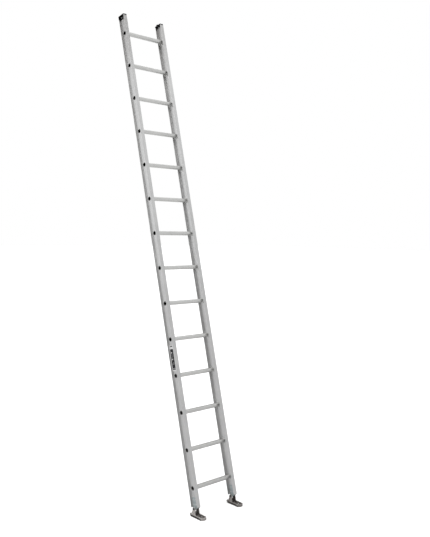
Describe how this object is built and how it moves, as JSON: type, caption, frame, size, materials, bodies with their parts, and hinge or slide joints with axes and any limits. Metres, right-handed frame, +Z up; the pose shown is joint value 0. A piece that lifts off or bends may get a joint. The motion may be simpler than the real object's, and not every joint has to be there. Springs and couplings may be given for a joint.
{
  "type": "straight ladder",
  "caption": "Straight single-section aluminium ladder with I-beam rails, D-shaped hollow rungs, plastic end caps and swivelling cast shoes with rubber pads, leaning at its working angle.",
  "frame": {"origin": "on the floor, midway between the two soles, straight under the two swivel bolts", "axes": "X along the rungs, with the climber's left rail at -X; +Y towards the wall; +Z up. The ladder leans 14.5 degrees from the vertical towards +Y."},
  "size_m": [0.4766, 1.2208, 4.2303],
  "materials": {
    "rail_aluminium": "mill-finish extrusion, satin with fine lengthwise die lines",
    "rung_aluminium": "mill-finish tube, satin, grooved tread",
    "rivet_aluminium": "satin rivet heads",
    "zinc_plate": "bright zinc plating with a faint blue cast",
    "bolt_steel": "dark zinc-plated steel",
    "cast_shoe": "rough grey casting, slightly warm in tone",
    "black_rubber": "matt black ribbed rubber",
    "black_plastic": "moulded black plastic",
    "decal_film": "printed vinyl film, no lettering"
  },
  "bodies": {
    "ladder": {"left_rail": "rail_aluminium", "left_end_cap": "black_plastic", "left_cap_rivet": "rivet_aluminium", "left_outer_foot_plate": "zinc_plate", "left_inner_foot_plate": "zinc_plate", "left_foot_rivets": "rivet_aluminium", "left_pivot_bolt": "bolt_steel", "left_pivot_nut": "bolt_steel", "left_pivot_washers": "zinc_plate", "left_outer_spacer": "zinc_plate", "left_inner_spacer": "zinc_plate", "right_rail": "rail_aluminium", "right_end_cap": "black_plastic", "right_cap_rivet": "rivet_aluminium", "right_outer_foot_plate": "zinc_plate", "right_inner_foot_plate": "zinc_plate", "right_foot_rivets": "rivet_aluminium", "right_pivot_bolt": "bolt_steel", "right_pivot_nut": "bolt_steel", "right_pivot_washers": "zinc_plate", "right_outer_spacer": "zinc_plate", "right_inner_spacer": "zinc_plate", "rung_01": "rung_aluminium", "rung_02": "rung_aluminium", "rung_03": "rung_aluminium", "rung_04": "rung_aluminium", "rung_05": "rung_aluminium", "rung_06": "rung_aluminium", "rung_07": "rung_aluminium", "rung_08": "rung_aluminium", "rung_09": "rung_aluminium", "rung_10": "rung_aluminium", "rung_11": "rung_aluminium", "rung_12": "rung_aluminium", "rung_13": "rung_aluminium", "rung_14": "rung_aluminium", "rail_decal": "decal_film"},
    "left_foot": {"left_shoe": "cast_shoe", "left_sole_pad": "black_rubber", "left_pad_rivets": "rivet_aluminium"},
    "right_foot": {"right_shoe": "cast_shoe", "right_sole_pad": "black_rubber", "right_pad_rivets": "rivet_aluminium"}
  },
  "joints": [
    {"name": "left_shoe_swivel", "type": "hinge", "parent": "ladder", "child": "left_foot", "pos_m": [-0.207, 0, 0.0685], "axis": [1, 0, 0], "range_deg": [-76, 90]},
    {"name": "right_shoe_swivel", "type": "hinge", "parent": "ladder", "child": "right_foot", "pos_m": [0.207, 0, 0.0685], "axis": [1, 0, 0], "range_deg": [-76, 90]}
  ]
}
